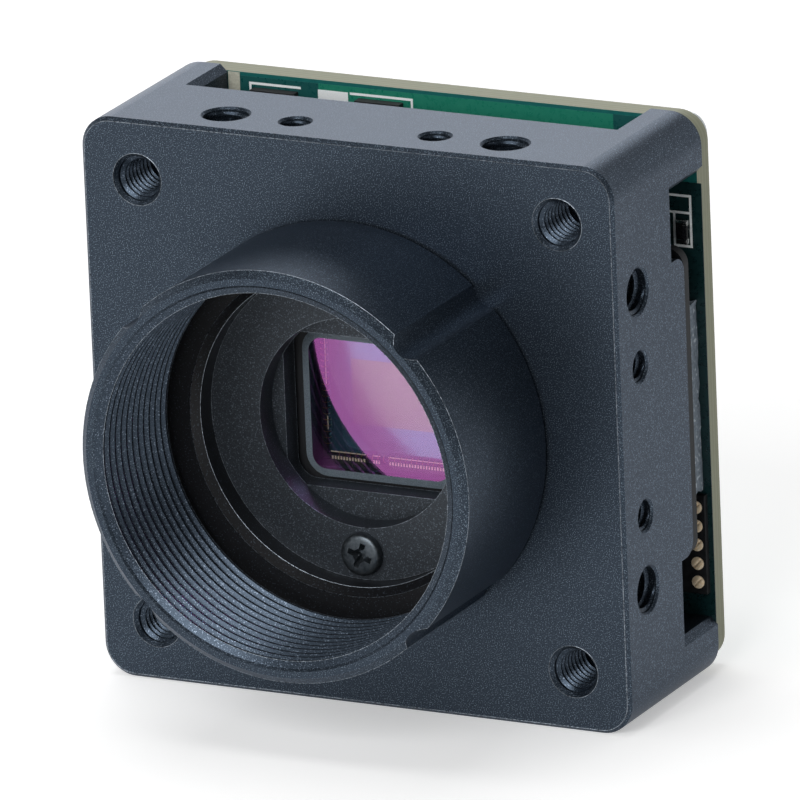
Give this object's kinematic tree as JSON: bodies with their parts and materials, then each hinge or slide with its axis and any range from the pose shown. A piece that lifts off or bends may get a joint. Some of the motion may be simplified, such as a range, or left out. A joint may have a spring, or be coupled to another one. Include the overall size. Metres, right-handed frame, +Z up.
{
  "type": "machine vision camera",
  "caption": "Square board-level vision camera: black anodised housing with a threaded C-mount lens ring, recessed image sensor, tapped mounting holes and a circuit board on the open back.",
  "frame": {"origin": "midway between the two M2 holes of the bottom face, on that face", "axes": "+X to the right of the camera seen from the front, +Y towards the back, +Z up; the lens ring looks along -Y"},
  "size_m": [0.038, 0.0317, 0.038],
  "materials": {
    "black_anodised": "bead-blasted, black anodised",
    "black_plate": "black anodised",
    "black_steel": "black zinc plated",
    "zinc_steel": "bright zinc plated",
    "stainless_shim": "rolled",
    "gasket_rubber": "matt",
    "package_ceramic": "fired, matt",
    "silicon": "polished, iridescent",
    "gold": "gold plated",
    "cover_glass": "coated, clear",
    "green_board": "solder mask over glass epoxy",
    "black_moulding": "moulded, matt",
    "ivory_moulding": "moulded, satin",
    "chip_moulding": "moulded, fine matt",
    "chip_ceramic": "fired, satin",
    "ferrite": "sintered, matt",
    "tin_shell": "tin plated",
    "thermal_silicone": "rough, matt",
    "black_spreader": "black anodised"
  },
  "bodies": {
    "root": {"housing": "black_anodised", "aperture_plate": "black_plate", "aperture_screws": "black_steel", "dust_gasket": "gasket_rubber", "sensor_package": "package_ceramic", "sensor_die": "silicon", "bond_wires": "gold", "cover_glass": "cover_glass", "sensor_board": "green_board", "focus_shims": "stainless_shim", "sensor_board_screws": "zinc_steel", "board_plug": "ivory_moulding", "board_socket": "ivory_moulding", "main_board": "green_board", "main_board_screws": "zinc_steel", "heat_spreader": "black_spreader", "thermal_pad": "thermal_silicone", "image_processor": "chip_moulding", "power_inductors": "ferrite", "power_regulator": "chip_moulding", "driver_chips": "chip_moulding", "edge_resistor": "chip_ceramic", "front_capacitors": "chip_ceramic", "contact_base": "black_moulding", "edge_contacts": "gold", "clock_oscillator": "tin_shell", "sensor_capacitors": "chip_ceramic", "memory_chip": "chip_moulding", "rear_capacitors": "chip_ceramic", "data_port_shell": "tin_shell", "data_port_tongue": "black_moulding", "signal_socket": "ivory_moulding", "signal_pins": "gold"}
  },
  "joints": []
}
